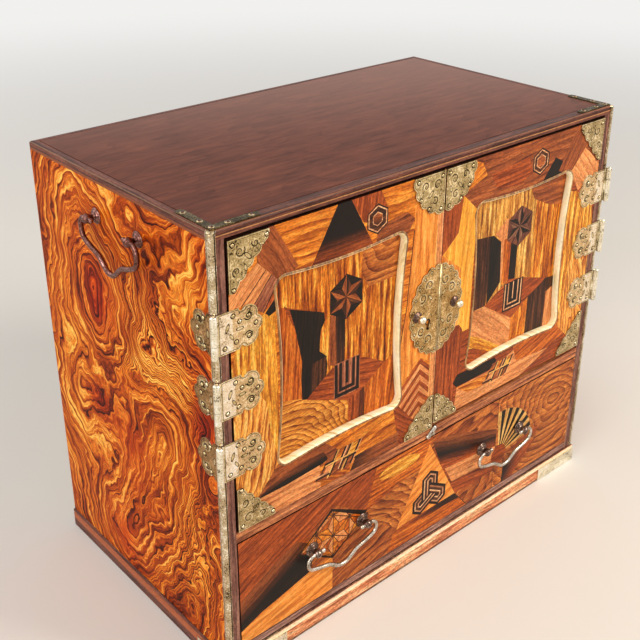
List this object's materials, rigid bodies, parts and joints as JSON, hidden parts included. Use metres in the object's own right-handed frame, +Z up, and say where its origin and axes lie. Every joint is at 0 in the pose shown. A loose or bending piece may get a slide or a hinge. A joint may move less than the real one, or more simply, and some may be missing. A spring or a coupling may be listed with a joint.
{
  "type": "small tansu chest",
  "caption": "Table cabinet with two hinged doors over one long drawer, figured wood sides, inlaid fronts, engraved wrap-round hinges and swinging bail handles.",
  "frame": {"origin": "middle of the footprint on the floor, half way between the knobs' tips and the back", "axes": "+X to the right seen from the front, front towards -Y, +Z up"},
  "size_m": [0.4322, 0.241, 0.3568],
  "materials": {
    "figured_side": "glossy clear coat over figured veneer",
    "top_board": "satin dark red-brown",
    "frame_wood": "satin purple-brown",
    "door_veneer": "glossy marquetry veneer",
    "drawer_veneer": "glossy marquetry veneer",
    "inner_wood": "plain",
    "engraved_mount": "aged, engraved",
    "corner_metal": "pale, worn bright",
    "panel_lining": "pale wood moulding round the sunk panels",
    "bright_metal": "worn nickel",
    "dark_metal": "copper brown",
    "lock_metal": "dull"
  },
  "bodies": {
    "case": {"top_panel": "top_board", "top_moulding_front": "frame_wood", "top_moulding_sides": "frame_wood", "top_moulding_back": "frame_wood", "side_left": "figured_side", "side_right": "figured_side", "back_panel": "inner_wood", "base_board": "inner_wood", "divider_board": "inner_wood", "stiles": "frame_wood", "divider_rail": "frame_wood", "base_rail": "frame_wood", "shelf": "inner_wood", "shelf_cleats": "inner_wood", "drawer_stops": "inner_wood", "plinth_front": "frame_wood", "plinth_sides": "frame_wood", "plinth_back": "frame_wood", "plinth_caps": "corner_metal", "corner_strips_left": "corner_metal", "corner_strips_right": "corner_metal", "top_straps": "engraved_mount", "case_leaf_left_1": "engraved_mount", "case_leaf_left_2": "engraved_mount", "case_leaf_left_3": "engraved_mount", "case_leaf_right_1": "engraved_mount", "case_leaf_right_2": "engraved_mount", "case_leaf_right_3": "engraved_mount", "hinge_pins_left": "engraved_mount", "hinge_pins_right": "engraved_mount", "bail_posts": "dark_metal", "turn_screw": "bright_metal"},
    "left_door": {"door_left": "door_veneer", "bead_left": "panel_lining", "lock_plate_left": "engraved_mount", "mounts_left": "engraved_mount", "knob_left": "bright_metal", "lock_case": "lock_metal", "door_leaf_left_1": "engraved_mount", "door_leaf_left_2": "engraved_mount", "door_leaf_left_3": "engraved_mount"},
    "right_door": {"door_right": "door_veneer", "bead_right": "panel_lining", "lock_plate_right": "engraved_mount", "mounts_right": "engraved_mount", "knob_right": "bright_metal", "lock_keeper": "lock_metal", "door_leaf_right_1": "engraved_mount", "door_leaf_right_2": "engraved_mount", "door_leaf_right_3": "engraved_mount"},
    "drawer": {"drawer_front": "drawer_veneer", "drawer_sides": "inner_wood", "drawer_back": "inner_wood", "drawer_bottom": "inner_wood", "pull_posts": "dark_metal"},
    "left_pull": {"pull_left": "bright_metal"},
    "right_pull": {"pull_right": "bright_metal"},
    "left_bail": {"bail_left": "dark_metal"},
    "right_bail": {"bail_right": "dark_metal"},
    "turn_button": {"turn_button": "bright_metal"}
  },
  "joints": [
    {"name": "left_door_hinge", "type": "hinge", "parent": "case", "child": "left_door", "pos_m": [-0.207, -0.1115, 0.2], "axis": [0, 0, -1], "range_deg": [0, 180]},
    {"name": "right_door_hinge", "type": "hinge", "parent": "case", "child": "right_door", "pos_m": [0.207, -0.1115, 0.2], "axis": [0, 0, 1], "range_deg": [0, 180]},
    {"name": "drawer_slide", "type": "slide", "parent": "case", "child": "drawer", "axis": [0, -1, 0], "range_m": [0, 0.16]},
    {"name": "left_pull_swing", "type": "hinge", "parent": "drawer", "child": "left_pull", "pos_m": [-0.101, -0.116, 0.0762], "axis": [-1, 0, 0], "range_deg": [0, 120]},
    {"name": "right_pull_swing", "type": "hinge", "parent": "drawer", "child": "right_pull", "pos_m": [0.092, -0.116, 0.0762], "axis": [-1, 0, 0], "range_deg": [0, 120]},
    {"name": "left_bail_swing", "type": "hinge", "parent": "case", "child": "left_bail", "pos_m": [-0.2125, 0.0005, 0.3245], "axis": [0, 1, 0], "range_deg": [0, 170]},
    {"name": "right_bail_swing", "type": "hinge", "parent": "case", "child": "right_bail", "pos_m": [0.2125, 0.0005, 0.3245], "axis": [0, -1, 0], "range_deg": [0, 170]},
    {"name": "turn_button_pivot", "type": "hinge", "parent": "case", "child": "turn_button", "pos_m": [0, -0.1101, 0.1238], "axis": [0, 1, 0], "range_deg": [0, 40]}
  ]
}
